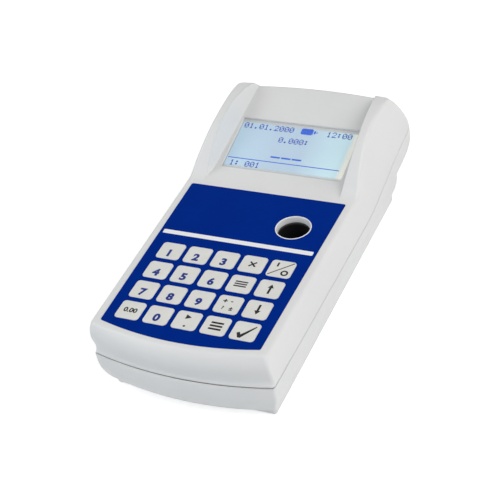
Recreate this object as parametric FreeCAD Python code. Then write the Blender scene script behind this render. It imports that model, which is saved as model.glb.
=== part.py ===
import FreeCAD
import Part
import math
import os

# Compact bench photometer, millimetres.
# X runs to the right of the keypad, Y to the rear, Z up; Z = 0 is the table under the feet
# and the origin is the middle of the overall length and width.
V = FreeCAD.Vector
os.makedirs("parts", exist_ok=True)

# Reach of the solids that only cut or clip, and the play and depths that many pieces share
far = 150.0
past = 1.0
sunk = 0.5
slack = 0.1
clearance = 0.3

# Driving sizes of the housing
deck_height = 45.0
crest_height = 65.0
seam_front = 26.3
seam_low = 23.4
seam_gap = 0.5
wall = 2.6
front_corner_y = -100.0
front_bulge = 5.9
rear_corner_y = 104.0
rear_bulge = 3.6
corner_radius = 1.5
top_edge_radius = 1.6
panel_edge_radius = 2.5
shelf_height = 6.6
foot_height = 0.6
base_front_y = -94.1
base_rear_y = 82.0
base_front_half = 43.1
base_rear_half = 45.7
base_edge_radius = 1.0
crease_height = 25.0
seam_front_half = 47.4
seam_rear_half = 50.2
overhang_height = 20.8
undercut = 3.6

# Driving sizes of the head and its cheeks
cheek_start_y = 21.5
cheek_foot_half = 38.5
cheek_draft = 10.5
cheek_closing = 4.5
panel_start_y = 31.5
panel_tilt = 12.1

# Driving sizes of the keypad
key_pitch_x = 15.0
key_pitch_y = 15.2
key_grid_y = -63.5
key_width = 12.7
key_depth = 12.2
key_corner = 1.9
key_height = 4.1
key_proud = 0.25
key_flange = 0.9
key_flange_height = 0.8
key_travel = 0.4
key_gap = 0.15
flange_gap = 0.05
foil_thickness = 0.3
foil_gap = 0.1
foil_front_half = 41.6
foil_front_y = -95.8
foil_bulge = 5.5
foil_rear_half = 43.8
foil_rear_y = 15.2
foil_corner = 1.2
board_thickness = 1.6
dome_height = 0.5
dome_radius = 4.2

# Driving sizes of the display
window_width = 69.2
window_length = 37.1
window_start = 1.5
window_thickness = 1.2
window_sink = 0.4
window_ledge = 1.5
pane_gap = 0.1
glass_thickness = 2.8
glass_margin = 2.6
frame_wall = 1.0
post_radius = 2.6

# Driving sizes of the measuring well and optics
well_x = 24.1
well_y = -8.9
well_rim_radius = 8.75
well_funnel_depth = 3.3
bore_radius = 8.25
bore_floor_z = 9.0
collar_wall = 1.8
seal_height = 1.0
holder_side = 26.0
holder_corner = 1.5
plate_margin = 2.0
light_hole_radius = 2.5
filter_count = 8
filter_rim = 1.4
wheel_headroom = 4.4
wheel_thickness = 3.0
wheel_gap = 2.6
shaft_radius = 1.0
shaft_gap = 0.05
motor_radius = 6.0
motor_length = 13.0
bracket_thickness = 2.2
plate_thickness = 2.5
lens_radius = 3.0
lens_thickness = 2.0
bulb_radius = 2.3
hub_radius = 3.4
bulb_reach = 1.6
bracket_gap = 7.0
lamp_block_length = 9.0
plate_pin_gap = 7.0
photodiode_length = 3.0
detector_half = 8.0

# Driving sizes of the supply, boards and fasteners
cell_radius = 7.2
cell_length = 50.0
cell_count = 4
cell_gap = 0.3
contact_thickness = 0.4
contact_depth = 3.0
bay_wall = 1.6
door_thickness = 2.2
door_gap = 0.3
pin_radius = 0.9
pin_gap = 0.05
screw_radius = 1.5
screw_head_radius = 2.8
screw_head_height = 1.8
boss_radius = 3.9
post_radius_upper = 3.0
post_drop = 3.0
thread_depth = 8.0
post_side_gap = 1.2
screw_rear_step = 12.0
board_height = 7.5
foot_radius = 4.5
foot_inset = 1.0
foot_front_step = 24.0
foot_rear_step = 28.0
socket_x = -22.0
socket_width = 7.8
socket_height = 4.0
socket_length = 9.2
socket_wall = 0.4
cover_recess = 2.2
cover_below = 2.4
cover_above = 3.2
cover_thickness = 1.6
cover_gap = 0.2
board_margin = 3.0
thread_gap = 0.03
hub_length = 2.4
shaft_depth = 6.0
lamp_seat = 4.0
contact_half = 5.0
grip_half = 9.0
grip_pitch = 2.4
grip_count = 4
buzzer_radius = 5.5
cover_pin_reach = 1.5
gasket_inset = 0.5
rim_width = 0.5
small_screw_radius = 0.8
board_screw_radius = 1.1
standoff_radius = 2.8
stud_radius = 1.7
pin_reach = 2.0
cover_half = 6.0
cover_seat = 0.1
cover_pin_radius = 0.5
lamp_block_half = 4.2
terminal_radius = 2.7
terminal_height = 1.0


def box(x0, x1, y0, y1, z0, z1):
    return Part.makeBox(x1 - x0, y1 - y0, z1 - z0, V(x0, y0, z0))


def rod(x, y, z0, z1, radius):
    return Part.makeCylinder(radius, z1 - z0, V(x, y, z0), V(0, 0, 1))


def rod_x(x0, x1, y, z, radius):
    return Part.makeCylinder(radius, x1 - x0, V(x0, y, z), V(1, 0, 0))


def prism_x(points, half):
    """A closed outline of (y, z) points pulled along X."""
    ring = [V(-half, y, z) for y, z in points]
    face = Part.Face(Part.makePolygon(ring + ring[:1]))
    return face.extrude(V(2 * half, 0, 0))


def fused(shapes):
    return shapes[0].multiFuse(shapes[1:]).removeSplitter()


def rounded_plate(width, depth, z0, z1, radius):
    plate = box(-width / 2, width / 2, -depth / 2, depth / 2, z0, z1)
    return plate.makeFillet(radius, upright_edges(plate))


# Outline of the housing from above
def arc_centre(half, corner_y, bulge, side):
    radius = (half * half + bulge * bulge) / (2 * bulge)
    return V(0, corner_y + side * (bulge - radius), 0), radius


def blend(start, direction, inward, centre, radius, small, side):
    """Centre of a small corner arc that touches a straight side and a wide end arc."""
    base = start + inward * small
    gap = base - centre
    b = gap.dot(direction)
    c = gap.dot(gap) - (radius - small) ** 2
    root = math.sqrt(b * b - c)
    steps = (-b + root, -b - root)
    hits = [base + direction * step for step in steps]
    hit = max(hits, key=lambda p: side * p.y)
    on_side = hit - inward * small
    on_end = centre + (hit - centre).normalize() * radius
    return hit, on_side, on_end


def plan_wire(z, front_half, front_y, bulge, rear_half, rear_y, corner, inset):
    front = V(front_half - inset, front_y + inset, 0)
    rear = V(rear_half - inset, rear_y - inset, 0)
    small = max(corner - inset, 0.6)
    direction = (rear - front).normalize()
    inward = V(-direction.y, direction.x, 0)
    front_centre, front_radius = arc_centre(front.x, front.y, bulge, -1)
    rear_centre, rear_radius = arc_centre(rear.x, rear.y, rear_bulge, 1)
    f_mid, f_side, f_end = blend(front, direction, inward, front_centre, front_radius, small, -1)
    r_mid, r_side, r_end = blend(front, direction, inward, rear_centre, rear_radius, small, 1)

    def lifted(p):
        return V(p.x, p.y, z)

    def mirrored(p):
        return V(-p.x, p.y, z)

    def corner_arc(mid, a, b, place):
        outward = ((a - mid) + (b - mid)).normalize() * small
        return Part.Arc(place(a), place(mid + outward), place(b)).toShape()

    nose = V(0, front_centre.y - front_radius, z)
    tail = V(0, rear_centre.y + rear_radius, z)
    edges = [
        Part.Arc(mirrored(f_end), nose, lifted(f_end)).toShape(),
        corner_arc(f_mid, f_end, f_side, lifted),
        Part.makeLine(lifted(f_side), lifted(r_side)),
        corner_arc(r_mid, r_side, r_end, lifted),
        Part.Arc(lifted(r_end), tail, mirrored(r_end)).toShape(),
        corner_arc(r_mid, r_end, r_side, mirrored),
        Part.makeLine(mirrored(r_side), mirrored(f_side)),
        corner_arc(f_mid, f_side, f_end, mirrored),
    ]
    return Part.Wire(edges)


def side_shape(inset):
    """Upright side walls that turn in under the seam, and the curved front and rear, up past the crest."""
    belly = [(0.0, 2.1), (shelf_height, 1.0), (shelf_height + 2.4, 0.69), (shelf_height + 5.4, 0.40),
             (shelf_height + 9.4, 0.14), (shelf_height + 13.4, 0.03), (crease_height, 0.0)]
    steps = [
        (-9, -0.5, -0.4, 1.3, -0.2, -0.2, 0.2), (-4, -0.8, -0.4, 0.6, -0.5, -1.4, 0.6),
        (0, -1.5, 1.3, -0.5, -0.9, -3.0, 1.5), (8, -4.0, 8.4, -0.7, -2.4, -7.4, 1.9),
        (16, -6.6, 17.6, -0.7, -4.6, -13.6, 1.9), (24, -9.4, 27.6, -0.7, -6.8, -21.5, 1.9),
    ]
    low = []
    for z, share in belly:
        step = share * undercut
        low.append((z, seam_front_half - step, front_corner_y + step, front_bulge, seam_rear_half - step,
                    rear_corner_y, corner_radius))
    high = [low[-1]]
    for rise, front_in, front_on, fuller, rear_in, rear_on, rounder in steps:
        high.append((deck_height + rise, seam_front_half + front_in, front_corner_y + front_on,
                     front_bulge + fuller, seam_rear_half + rear_in, rear_corner_y + rear_on,
                     corner_radius + rounder))
    halves = [Part.makeLoft([plan_wire(*row, inset) for row in rows], True, False) for rows in (low, high)]
    return halves[0].fuse(halves[1])


def stepped_in(points, inset):
    """Points of an open outline moved to their right by the inset."""
    moved = []
    last = len(points) - 1
    for i, (y, z) in enumerate(points):
        ya, za = points[max(i - 1, 0)]
        yb, zb = points[min(i + 1, last)]
        run = math.hypot(yb - ya, zb - za)
        moved.append((y + (zb - za) / run * inset, z - (yb - ya) / run * inset))
    return moved


def spline(points):
    curve = Part.BSplineCurve()
    curve.interpolate([V(0, y, z) for y, z in points])
    return curve.toShape()


def crest_shape(inset):
    """Side view of the deck and the cheeks' crest, pulled along X."""
    rise = crest_height - deck_height
    crest = [
        (cheek_start_y - 2.5, 0.0), (cheek_start_y + 1.5, 0.06), (cheek_start_y + 6.9, 0.27),
        (cheek_start_y + 14.4, 0.53), (cheek_start_y + 21.9, 0.735), (cheek_start_y + 29.4, 0.865),
        (cheek_start_y + 40.0, 0.965), (cheek_start_y + 50.0, 1.0), (cheek_start_y + 59.5, 0.97),
        (cheek_start_y + 68.5, 0.87), (cheek_start_y + 90.0, 0.50),
    ]
    flow = [(y, deck_height + rise * part - inset) for y, part in crest]
    top = deck_height - inset
    bottom = shelf_height + inset
    return slab([spline(flow)], [flow[-1], (flow[-1][0], bottom), (-far, bottom), (-far, top), flow[0]])


def slab(curves, corners):
    """A side view closed by straight runs between its corners, pulled across the whole width."""
    runs = [Part.makeLine(V(0, *a), V(0, *b)) for a, b in zip(corners, corners[1:])]
    face = Part.Face(Part.Wire(curves + runs))
    face.translate(V(-far / 2, 0, 0))
    return face.extrude(V(far, 0, 0))


def nose_shape(inset):
    """Rear nose, underside and rear step, swung about the centre of the rear arc."""
    tail = rear_corner_y + rear_bulge
    nose = [
        (tail + 6.4, 27.2), (tail + 3.0, 20.2), (tail + 0.3, 14.2), (tail - 1.2, 7.8), (tail - 5.0, 3.8),
        (tail - 11.6, 1.7), (base_rear_y + 7.0, 0.7), (base_rear_y - 1.0, 0.0),
    ]
    flow = stepped_in([(y, overhang_height + rise) for y, rise in nose], inset)
    step = (base_rear_y - 1.0 - inset, flow[-1][1])
    corners = [flow[-1], step, (base_rear_y - inset, -far), (-far, -far), (-far, far),
               (flow[0][0], far), flow[0]]
    if inset == 0:
        corners.pop(0)
    runs = [Part.makeLine(V(0, *a), V(0, *b)) for a, b in zip(corners, corners[1:])]
    face = Part.Face(Part.Wire([spline(flow)] + runs))
    centre = arc_centre(seam_rear_half, rear_corner_y, rear_bulge, 1)[0]
    sweep = 25.0
    face.rotate(centre, V(0, 0, 1), -sweep)
    return face.revolve(centre, V(0, 0, 1), 2 * sweep)


def panel_z(y):
    return deck_height + (y - panel_start_y) * math.tan(math.radians(panel_tilt))


def tunnel_shape(inset):
    """Space between the cheeks, with leaning walls that close in to the rear and no floor yet."""
    flare = math.tan(math.radians(cheek_draft))
    closing = math.tan(math.radians(cheek_closing))
    depth = 6.0
    top = crest_height + depth
    base = deck_height - depth

    def section(y):
        foot = cheek_foot_half + inset - (y - cheek_start_y) * closing
        low = foot - depth * flare
        high = foot + (top - deck_height) * flare
        return Part.makePolygon([V(-low, y, base), V(-high, y, top), V(high, y, top), V(low, y, base),
                                 V(-low, y, base)])

    return Part.makeLoft([section(cheek_start_y - depth), section(cheek_start_y + far)], True, True)


def panel_shape(inset):
    """Everything under the flat deck and the tilted display panel."""
    top = deck_height - inset
    return prism_x([(-far, 0), (-far, top), (panel_start_y, top), (far, panel_z(far) - inset), (far, 0)],
                   far / 2)


def middle(edge):
    return edge.valueAt((edge.FirstParameter + edge.LastParameter) / 2)


def edges_at(shape, z):
    return [e for e in shape.Edges if abs(middle(e).z - z) < 0.05]


def top_edges(shape):
    """The closed ring of edges around the deck, the head and its rear end."""
    found = []
    for edge in shape.Edges:
        place = middle(edge)
        crosses = abs(place.x) < 20 and abs(place.y) < abs(front_corner_y) / 2
        if place.z > deck_height - 0.1 and not crosses:
            found.append(edge)
    return found


def softened(shape, radius):
    solid = shape.Solids[0]
    return solid.makeFillet(radius, top_edges(solid))


def raw_body(inset, soft):
    """Closed housing form, stepped in by a wall or a groove; only the outermost is softened."""
    side = side_shape(inset).common(nose_shape(inset))
    head = side.common(crest_shape(inset))
    floor = side.common(panel_shape(inset))
    if soft:
        head = softened(head, top_edge_radius)
        floor = softened(floor, panel_edge_radius)
    return head.cut(tunnel_shape(inset).cut(floor))


def base_half(y):
    """Half width of the base block at a place along it."""
    share = (y - base_front_y) / (base_rear_y - base_front_y)
    return base_front_half + share * (base_rear_half - base_front_half)


def upright_edges(shape):
    return [e for e in shape.Edges if abs(e.tangentAt(e.FirstParameter).z) > 0.9]


def base_block(inset, floor_z, top_z):
    """The low block under the lower shell that the instrument stands on."""
    front_y = base_front_y + inset
    front = base_front_half - inset
    rear = base_half(far) - inset
    ring = [V(-front, front_y, floor_z), V(front, front_y, floor_z), V(rear, far, floor_z),
            V(-rear, far, floor_z)]
    block = Part.Face(Part.makePolygon(ring + ring[:1])).extrude(V(0, 0, top_z - floor_z))
    front_edges = [e for e in upright_edges(block) if middle(e).y < 0]
    block = block.makeFillet(max(corner_radius - inset, 0.6), front_edges)
    return block.common(nose_shape(inset))


def above_seam(drop):
    """Everything above the seam, lowered by the drop."""
    bend = [
        (2.5, 0.0), (11.5, 0.15), (20.0, 1.2), (32.2, 3.7), (47.2, 6.5), (60.3, 8.8), (73.0, 10.6),
        (100.0, 14.2),
    ]
    line = [(cheek_start_y + run, seam_low + rise - drop) for run, rise in bend]
    corners = [line[-1], (line[-1][0], far), (-far, far), (-far, seam_front - drop), line[0]]
    return slab([spline(line)], corners)


# Heights worked out from the sizes
deck_under = deck_height - wall
foil_z = deck_height - foil_thickness
key_top = deck_height + key_proud
key_base = key_top - key_height
board_top = key_base - key_travel - dome_height - slack
board_base = board_top - board_thickness
floor_top = foot_height + wall
plate_top = floor_top + plate_thickness
board_face = board_height + board_thickness
door_top = foot_height + door_thickness
cell_z = door_top + slack + cell_radius
bay_top = cell_z + cell_radius + cell_gap
head_seat = foot_height + screw_head_height + 1.4
seal_z = deck_height - well_funnel_depth - seal_height

# Battery bay and its door
bay_half = cell_count * (cell_radius + cell_gap / 2) + cell_gap
bay_front = base_front_y + wall + 0.4
bay_rear = bay_front + cell_length + 2 * contact_depth
door_half = bay_half + bay_wall
door_front = bay_front - bay_wall + 0.6
door_rear = bay_rear + bay_wall + 2.5
door_pin_y = door_rear - door_thickness / 2
door_pin_z = foot_height + door_thickness / 2

# Filter wheel, light path and the plate that carries them
wheel_radius = (deck_under - wheel_headroom - plate_top - clearance) / 2
pitch_sine = math.sin(math.pi / filter_count)
filter_radius = (pitch_sine * (wheel_radius - filter_rim) - filter_rim / 2) / (1 + pitch_sine)
filter_circle = wheel_radius - filter_rim - filter_radius
light_height = plate_top + clearance + wheel_radius
light_y = well_y
wheel_y = well_y + filter_circle
holder_left = well_x - holder_side / 2
holder_right = well_x + holder_side / 2
wheel_x = holder_left - wheel_gap - wheel_thickness
bracket_x = wheel_x - bracket_gap
plate_front = well_y - holder_side / 2 - 1.0
plate_rear = wheel_y + wheel_radius + plate_margin
plate_pin_x = bracket_x - motor_length - plate_pin_gap
plate_pins = [(plate_pin_x, plate_front + 8.0), (plate_pin_x, plate_rear - 9.0)]

# Keypad studs, display and their boards, in the panel's own frame for the display
reach_y = 1.5 * key_pitch_y + key_depth / 2
stud_x = 2 * key_pitch_x + key_width / 2 + key_flange + stud_radius + 0.4
stud_places = [(sx * stud_x, key_grid_y + step * key_pitch_y * 1.4) for sx in (-1, 1) for step in (-1, 0, 1)]
keypad_board_rear = key_grid_y + reach_y + 2.0
lcd_back = -wall - glass_thickness - 2 * slack
lcd_reach_x = window_width / 2 - window_ledge + glass_margin
lcd_low = window_start + window_ledge - glass_margin
lcd_high = window_start + window_length - window_ledge + glass_margin
lcd_post_y = (lcd_low - post_radius - 0.4, lcd_high + post_radius + 0.4)
lcd_posts = [(sx * (lcd_reach_x - 6.0), y) for sx in (-1, 1) for y in lcd_post_y]

# Housing screws, feet, main board and the socket's cover
screw_front = (door_half + boss_radius + post_side_gap,
               keypad_board_rear + post_radius_upper + 2.0)
screw_rear = (lcd_reach_x + clearance + post_radius_upper + 0.4, base_rear_y - screw_rear_step)
screw_places = [(sx * x, y) for x, y in (screw_front, screw_rear) for sx in (-1, 1)]
foot_places = [(sx * (base_front_half - foot_radius - 1.2), base_front_y + foot_front_step)
               for sx in (-1, 1)]
foot_places += [(sx * (base_rear_half - foot_radius - 2.0), base_rear_y - foot_rear_step)
                for sx in (-1, 1)]
main_half = screw_rear[0] - boss_radius - 0.5
main_front = plate_rear + 3.7
main_rear = base_rear_y - wall - board_margin
board_posts = [(sx * (main_half - 3.5), y) for sx in (-1, 1) for y in (main_front + 4, main_rear - 8)]
cover_back = base_rear_y - cover_recess
cover_low = board_face - cover_below
cover_high = board_face + socket_height + cover_above
cover_pin_z = cover_high - cover_thickness / 2
cover_pin_y = cover_back + cover_seat + cover_thickness / 2
socket_rear = cover_back + cover_seat - slack


def tilted(shape):
    """Move a shape from the panel's own frame (x, along the slope, out of it) to its place."""
    moved = shape.copy()
    moved.rotate(V(0, 0, 0), V(1, 0, 0), panel_tilt)
    moved.translate(V(0, panel_start_y, deck_height))
    return moved


def key_place(column, row):
    return V((column - 2) * key_pitch_x, key_grid_y + (1.5 - row) * key_pitch_y, 0)


key_names = [
    ["key_1", "key_2", "key_3", "key_escape", "key_power"],
    ["key_4", "key_5", "key_6", "key_memory", "key_up"],
    ["key_7", "key_8", "key_9", "key_extend", "key_down"],
    ["key_zero", "key_0", "key_program", "key_menu", "key_enter"],
]
key_spots = [(name, key_place(column, row))
             for row, names in enumerate(key_names) for column, name in enumerate(names)]


def key_openings(grow, z0, z1):
    size_x = key_width + 2 * grow
    size_y = key_depth + 2 * grow
    plate = rounded_plate(size_x, size_y, z0, z1, key_corner + grow)
    return [plate.translated(place) for _, place in key_spots]


def foil_shape(grow, z0, z1):
    """The keypad foil's outline: straight sides that open to the rear and an arched front."""
    front = foil_front_half + grow
    rear = foil_rear_half + grow
    front_y = foil_front_y - grow
    rear_y = foil_rear_y + grow
    left = V(-front, front_y, z0)
    right = V(front, front_y, z0)
    arch = Part.Arc(left, V(0, front_y - foil_bulge, z0), right).toShape()
    edges = [arch, Part.makeLine(right, V(rear, rear_y, z0)),
             Part.makeLine(V(rear, rear_y, z0), V(-rear, rear_y, z0)),
             Part.makeLine(V(-rear, rear_y, z0), left)]
    plate = Part.Face(Part.Wire(edges)).extrude(V(0, 0, z1 - z0))
    return plate.makeFillet(foil_corner, upright_edges(plate))


def funnel(grow, z0, z1):
    """The well's mouth: wide at the deck and narrowing to the tube's bore."""
    slope = (well_rim_radius - bore_radius - 0.2) / well_funnel_depth
    low = well_rim_radius - (deck_height - z0) * slope + grow
    high = well_rim_radius + (z1 - deck_height) * slope + grow
    return Part.makeCone(low, high, z1 - z0, V(well_x, well_y, z0), V(0, 0, 1))


def housing():
    """The raw halves of the two shells."""
    outer = raw_body(0, True)
    space = raw_body(wall, False)
    block = base_block(0, foot_height, shelf_height + wall + past)
    low_space = base_block(wall, floor_top, shelf_height + wall + 1.5 * past)
    block = block.makeFillet(base_edge_radius, edges_at(block, foot_height))
    upper = outer.cut(space).common(above_seam(0))
    lower = outer.fuse(block).cut(space).cut(low_space).cut(above_seam(seam_gap))
    return upper, lower


def shell_gasket():
    """Soft strip in the joint between the shells."""
    ring = raw_body(gasket_inset, False).cut(raw_body(wall - 0.4, False))
    return ring.common(above_seam(seam_gap)).cut(above_seam(0))


def post_bottom(y):
    """Height where the posts of the two shells meet."""
    seam = seam_front if y < 0 else seam_low
    return seam - post_drop


def upper_shell(raw):
    post_top = deck_under + sunk
    added = [raw]
    for x, y in screw_places:
        top = post_top if y < panel_start_y else panel_z(y) - wall
        added.append(rod(x, y, post_bottom(y), top, post_radius_upper))
    added.append(rod(well_x, well_y, seal_z + seal_height, post_top, well_rim_radius + collar_wall))
    for x, y in lcd_posts:
        added.append(tilted(rod(x, y, lcd_back, -wall / 2, post_radius)))
    for x, y in stud_places:
        added.append(rod(x, y, board_top, post_top, stud_radius))
    shell = fused(added)
    above = deck_height + past
    rim = rod(well_x, well_y, foil_z - past, above + past, well_rim_radius + rim_width)
    cuts = key_openings(key_gap, deck_under - past, above)
    cuts.append(foil_shape(foil_gap, foil_z, above).cut(rim))
    cuts.append(funnel(0, seal_z, above))
    half = window_width / 2
    far_edge = window_start + window_length
    seat = -window_sink - window_thickness
    cuts.append(tilted(box(-half, half, window_start, far_edge, seat, past)))
    cuts.append(tilted(box(-half + window_ledge, half - window_ledge, window_start + window_ledge,
                           far_edge - window_ledge, -wall - past, past)))
    for x, y in screw_places:
        cuts.append(rod(x, y, post_bottom(y) - past, post_bottom(y) + thread_depth + past,
                        screw_radius + thread_gap))
    pilot = small_screw_radius + thread_gap
    for x, y in lcd_posts:
        cuts.append(tilted(rod(x, y, lcd_back - past, -wall - 2 * slack, pilot)))
    for x, y in stud_places:
        cuts.append(rod(x, y, board_top - past, deck_under + 2 * slack, pilot))
    return shell.cut(Part.makeCompound(cuts))


def lower_shell(raw):
    base = floor_top - sunk
    added = [raw, box(-bay_half - bay_wall, bay_half + bay_wall, bay_front - bay_wall, bay_rear + bay_wall,
                      base, bay_top + bay_wall)]
    for x, y in screw_places:
        added.append(rod(x, y, base, post_bottom(y), boss_radius))
    for x, y in board_posts:
        added.append(rod(x, y, base, board_height, standoff_radius))
    for x, y in plate_pins:
        added.append(rod(x, y, base, plate_top + past, pin_radius))
    frame_half = cover_half + 3.0
    added.append(box(socket_x - frame_half, socket_x + frame_half, cover_back - 3.0,
                     cover_back + 0.8, cover_low - 2.0, cover_high + 2.0))
    shell = fused(added)
    cuts = [box(-bay_half, bay_half, bay_front, bay_rear, 0, bay_top)]
    cuts.append(box(-door_half - door_gap, door_half + door_gap, door_front - door_gap,
                    door_rear + door_gap, 0, door_top + slack))
    pin_end = door_half + pin_reach + 2 * slack
    cuts.append(rod_x(-pin_end, pin_end, door_pin_y, door_pin_z, pin_radius + pin_gap))
    for x, y in screw_places:
        cuts.append(rod(x, y, 0, head_seat, screw_head_radius + clearance))
        cuts.append(rod(x, y, 0, post_bottom(y) + past, screw_radius + thread_gap))
    for x, y in foot_places:
        cuts.append(rod(x, y, 0, foot_height + foot_inset, foot_radius + thread_gap))
    for x, y in board_posts:
        cuts.append(rod(x, y, floor_top + sunk, board_face, board_screw_radius + thread_gap))
    cover_reach = cover_half + cover_gap
    cuts.append(box(socket_x - cover_reach, socket_x + cover_reach, cover_back,
                    base_rear_y + cover_recess, cover_low - cover_gap, cover_high + cover_gap))
    socket_reach = socket_width / 2 + cover_gap
    cuts.append(box(socket_x - socket_reach, socket_x + socket_reach, socket_rear - socket_length,
                    base_rear_y, board_face - cover_gap, board_face + socket_height + cover_gap))
    cover_end = cover_half + cover_pin_reach + cover_gap
    cuts.append(rod_x(socket_x - cover_end, socket_x + cover_end, cover_pin_y, cover_pin_z,
                      cover_pin_radius + pin_gap))
    return shell.cut(Part.makeCompound(cuts))


def keypad_foil():
    foil = foil_shape(0, foil_z, deck_height)
    cuts = key_openings(key_gap, foil_z - past, deck_height + past)
    cuts.append(rod(well_x, well_y, foil_z - past, deck_height + past,
                    well_rim_radius + rim_width + foil_gap))
    return foil.cut(Part.makeCompound(cuts))


def key():
    """One key at the middle of its own opening: a cap with a retaining flange under the deck."""
    cap = rounded_plate(key_width, key_depth, key_base, key_top, key_corner)
    top = deck_under - flange_gap
    flange = rounded_plate(key_width + 2 * key_flange, key_depth + 2 * key_flange,
                           top - key_flange_height, top, key_corner)
    return cap.fuse(flange).removeSplitter()


def screw_holes(places, z0, z1):
    return Part.makeCompound([rod(x, y, z0 - past, z1 + past, small_screw_radius + thread_gap)
                              for x, y in places])


def keypad_board():
    half = stud_x + stud_radius + 2 * slack
    board = box(-half, half, key_grid_y - reach_y - board_margin, keypad_board_rear, board_base, board_top)
    return board.cut(screw_holes(stud_places, board_base, board_top))


def snap_domes():
    dome = Part.makeCone(dome_radius, dome_radius * 0.55, dome_height, V(0, 0, board_top))
    return Part.makeCompound([dome.translated(place) for _, place in key_spots])


def small_screw(x, y, seat, length):
    """A screw whose head sits under the seat and whose shank runs up."""
    shank = rod(x, y, seat, seat + length, small_screw_radius)
    head = rod(x, y, seat - past, seat, small_screw_radius * 1.9)
    return shank.fuse(head).removeSplitter()


def keypad_screws():
    length = deck_under - board_base
    return Part.makeCompound([small_screw(x, y, board_base, length) for x, y in stud_places])


def display_window():
    half = window_width / 2 - pane_gap
    return tilted(box(-half, half, window_start + pane_gap, window_start + window_length - pane_gap,
                      -window_sink - window_thickness, -window_sink))


def lcd_ring(inset, z0, z1):
    return box(-lcd_reach_x + inset, lcd_reach_x - inset, lcd_low + inset, lcd_high - inset, z0, z1)


def lcd_panel():
    return tilted(lcd_ring(frame_wall + pane_gap, -wall - glass_thickness, -wall))


def lcd_frame():
    outer = lcd_ring(0, lcd_back, -wall)
    return tilted(outer.cut(lcd_ring(frame_wall, lcd_back - past, 0)))


def lcd_board():
    edge = post_radius + 0.6
    half = lcd_reach_x + clearance
    board = box(-half, half, lcd_post_y[0] - edge, lcd_post_y[1] + edge, lcd_back - board_thickness,
                lcd_back)
    return tilted(board.cut(screw_holes(lcd_posts, lcd_back - board_thickness, lcd_back)))


def lcd_screws():
    seat = lcd_back - board_thickness
    length = board_thickness + glass_thickness - 3 * slack
    return Part.makeCompound([tilted(small_screw(x, y, seat, length)) for x, y in lcd_posts])


def optics_plate():
    """Base plate of the light path with the upright bracket of the motor."""
    side = motor_radius + sunk
    shape = box(plate_pin_x - 4.0, holder_right + board_thickness + 2 * slack, plate_front, plate_rear,
                floor_top, plate_top)
    bracket = box(bracket_x, bracket_x + bracket_thickness, wheel_y - side, wheel_y + side,
                  plate_top - sunk, light_height + motor_radius + 1.0)
    shape = shape.fuse(bracket).removeSplitter()
    shape = shape.cut(rod_x(bracket_x - past, bracket_x + bracket_thickness + past, wheel_y,
                            light_height, shaft_radius + shaft_gap))
    for x, y in plate_pins:
        shape = shape.cut(rod(x, y, floor_top - past, plate_top + past, pin_radius + pin_gap))
    return shape


def lamp_holder():
    right = bracket_x - 1.0
    block = box(right - lamp_block_length, right, light_y - lamp_block_half, light_y + lamp_block_half,
                plate_top, light_height + lamp_block_half)
    return block.cut(rod_x(right - lamp_seat, right + past, light_y, light_height, bulb_radius + shaft_gap))


def lamp():
    start = bracket_x - 1.0 - lamp_seat
    glass = rod_x(start, bracket_x + bulb_reach, light_y, light_height, bulb_radius)
    tip = Part.makeSphere(bulb_radius, V(bracket_x + bulb_reach, light_y, light_height))
    return glass.fuse(tip).removeSplitter()


def filter_places(count):
    """The first places round the wheel, starting in the light's path."""
    turn = 2 * math.pi / filter_count
    return [(wheel_y - filter_circle * math.cos(turn * i),
             light_height + filter_circle * math.sin(turn * i)) for i in range(count)]


def filter_wheel():
    """Wheel with a ring of seats, of which the last stays open for the blank reading."""
    face = wheel_x + wheel_thickness
    disc = rod_x(wheel_x, face, wheel_y, light_height, wheel_radius)
    hub = rod_x(wheel_x - hub_length, wheel_x + sunk, wheel_y, light_height, hub_radius)
    wheel = disc.fuse(hub).removeSplitter()
    cuts = [rod_x(wheel_x - hub_length - past, face + past, wheel_y, light_height, shaft_radius)]
    for y, z in filter_places(filter_count):
        cuts.append(rod_x(wheel_x - past, face + past, y, z, filter_radius + shaft_gap))
    return wheel.cut(Part.makeCompound(cuts))


def optical_filters():
    discs = [rod_x(wheel_x + sunk, wheel_x + wheel_thickness - sunk, y, z, filter_radius)
             for y, z in filter_places(filter_count - 1)]
    return Part.makeCompound(discs)


def wheel_shaft():
    return rod_x(bracket_x - shaft_depth, wheel_x + wheel_thickness, wheel_y, light_height, shaft_radius)


def filter_motor():
    back = bracket_x - motor_length
    can = rod_x(back, bracket_x, wheel_y, light_height, motor_radius)
    tail = rod_x(back - 1.2, back, wheel_y, light_height, motor_radius * 0.37)
    bore = rod_x(bracket_x - shaft_depth - sunk, bracket_x + past, wheel_y, light_height,
                 shaft_radius + shaft_gap)
    return can.fuse(tail).cut(bore).removeSplitter()


def cuvette_holder():
    """Black block with the blind bore for the round tube and its two light holes."""
    half = holder_side / 2
    block = box(holder_left, holder_right, well_y - half, well_y + half, plate_top, seal_z)
    block = block.makeFillet(holder_corner, upright_edges(block))
    bore = rod(well_x, well_y, bore_floor_z, seal_z + past, bore_radius)
    light = rod_x(holder_left - past, holder_right + past, light_y, light_height, light_hole_radius)
    seat = rod_x(holder_left - past, holder_left + lens_thickness, light_y, light_height,
                 lens_radius + shaft_gap)
    return block.cut(Part.makeCompound([bore, light, seat]))


def well_seal():
    top = seal_z + seal_height
    ring = rod(well_x, well_y, seal_z, top, well_rim_radius + collar_wall - clearance)
    return ring.cut(rod(well_x, well_y, seal_z - past, top + past, bore_radius + 2 * slack))


def collimator_lens():
    return rod_x(holder_left, holder_left + lens_thickness, light_y, light_height, lens_radius)


def photodiode():
    return rod_x(holder_right - photodiode_length, holder_right, light_y, light_height,
                 light_hole_radius - shaft_gap)


def detector_board():
    return box(holder_right, holder_right + board_thickness, light_y - detector_half,
               light_y + detector_half, plate_top, light_height + detector_half + 1.0)


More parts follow.
